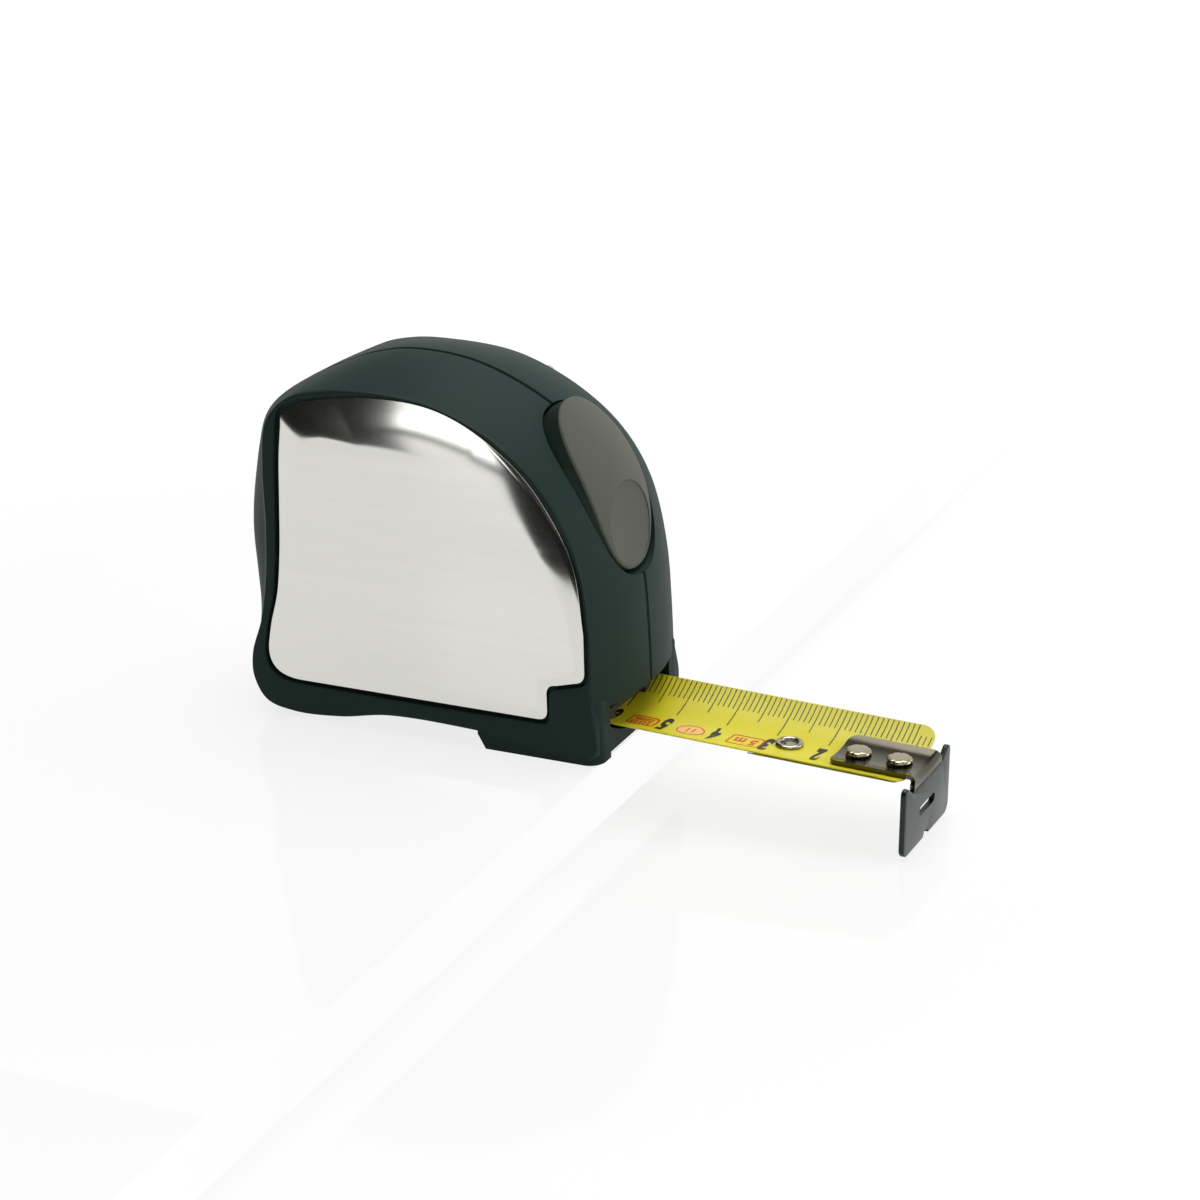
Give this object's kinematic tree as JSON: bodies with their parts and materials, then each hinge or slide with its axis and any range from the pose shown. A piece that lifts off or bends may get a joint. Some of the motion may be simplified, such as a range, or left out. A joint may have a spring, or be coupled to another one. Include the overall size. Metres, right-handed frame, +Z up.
{
  "type": "tape measure",
  "caption": "Pocket tape measure: plastic case with steel side plates, spring drum, curved steel blade with sliding end hook, rocking lock button and belt clip.",
  "frame": {"origin": "on the flat belly of the case, under the drum axis, midway across", "axes": "+X the way the blade is pulled out, +Z up, Y across the case"},
  "size_m": [0.1339, 0.0423, 0.0801],
  "materials": {
    "case_plastic": "soft-touch, dark green-grey",
    "side_steel": "brushed along its length, polished rolled edge",
    "button_plastic": "satin dark grey",
    "blade_yellow": "gloss yellow, black graduations and numbers",
    "coil_yellow": "gloss yellow",
    "strip_steel": "grey",
    "hook_nickel": "black nickel",
    "rivet_steel": "bright nickel",
    "eyelet_steel": "dark nickel",
    "drum_plastic": "light grey",
    "post_plastic": "black",
    "spring_steel": "blued spring steel",
    "wire_steel": "bright wire",
    "screw_steel": "black",
    "clip_steel": "nickel plated spring steel",
    "pad_rubber": "matt black"
  },
  "bodies": {
    "case": {"case_near": "case_plastic", "case_far": "case_plastic", "side_plate_near": "side_steel", "side_plate_far": "side_steel", "centre_post": "post_plastic", "power_spring": "spring_steel", "blade_lead": "coil_yellow", "button_pin": "wire_steel", "button_spring": "wire_steel", "belt_clip": "clip_steel", "clip_screw": "screw_steel", "case_screw_rear_top": "screw_steel", "case_screw_rear_bottom": "screw_steel", "case_screw_front": "screw_steel"},
    "drum": {"drum": "drum_plastic", "drum_cover": "drum_plastic", "blade_coil": "coil_yellow"},
    "blade": {"blade": "blade_yellow", "blade_strip": "strip_steel", "eyelet": "eyelet_steel", "hook_rivet_1": "rivet_steel", "hook_rivet_2": "rivet_steel"},
    "hook": {"end_hook": "hook_nickel"},
    "button": {"lock_button": "button_plastic", "brake_pad": "pad_rubber"}
  },
  "joints": [
    {"name": "drum_spin", "type": "hinge", "parent": "case", "child": "drum", "pos_m": [0, 0, 0.03603], "axis": [0, 1, 0], "range_deg": [0, 117.1]},
    {"name": "blade_slide", "type": "slide", "parent": "case", "child": "blade", "axis": [0.9993, 0, -0.0366], "range_m": [-0.0534, 0]},
    {"name": "hook_slide", "type": "slide", "parent": "blade", "child": "hook", "axis": [0.9993, 0, -0.0366], "range_m": [-0.001, 0]},
    {"name": "lock_button_rock", "type": "hinge", "parent": "case", "child": "button", "pos_m": [0.02093, 0, 0.05487], "axis": [0, 1, 0], "range_deg": [0, 2.5], "stiffness_Nm_per_rad": 0.6, "springref_deg": -1.15, "deforming": ["button_spring"]}
  ],
  "couplings": [
    {"joint": "blade_slide", "follows": "drum_spin", "m_per_rad": -0.026127}
  ]
}
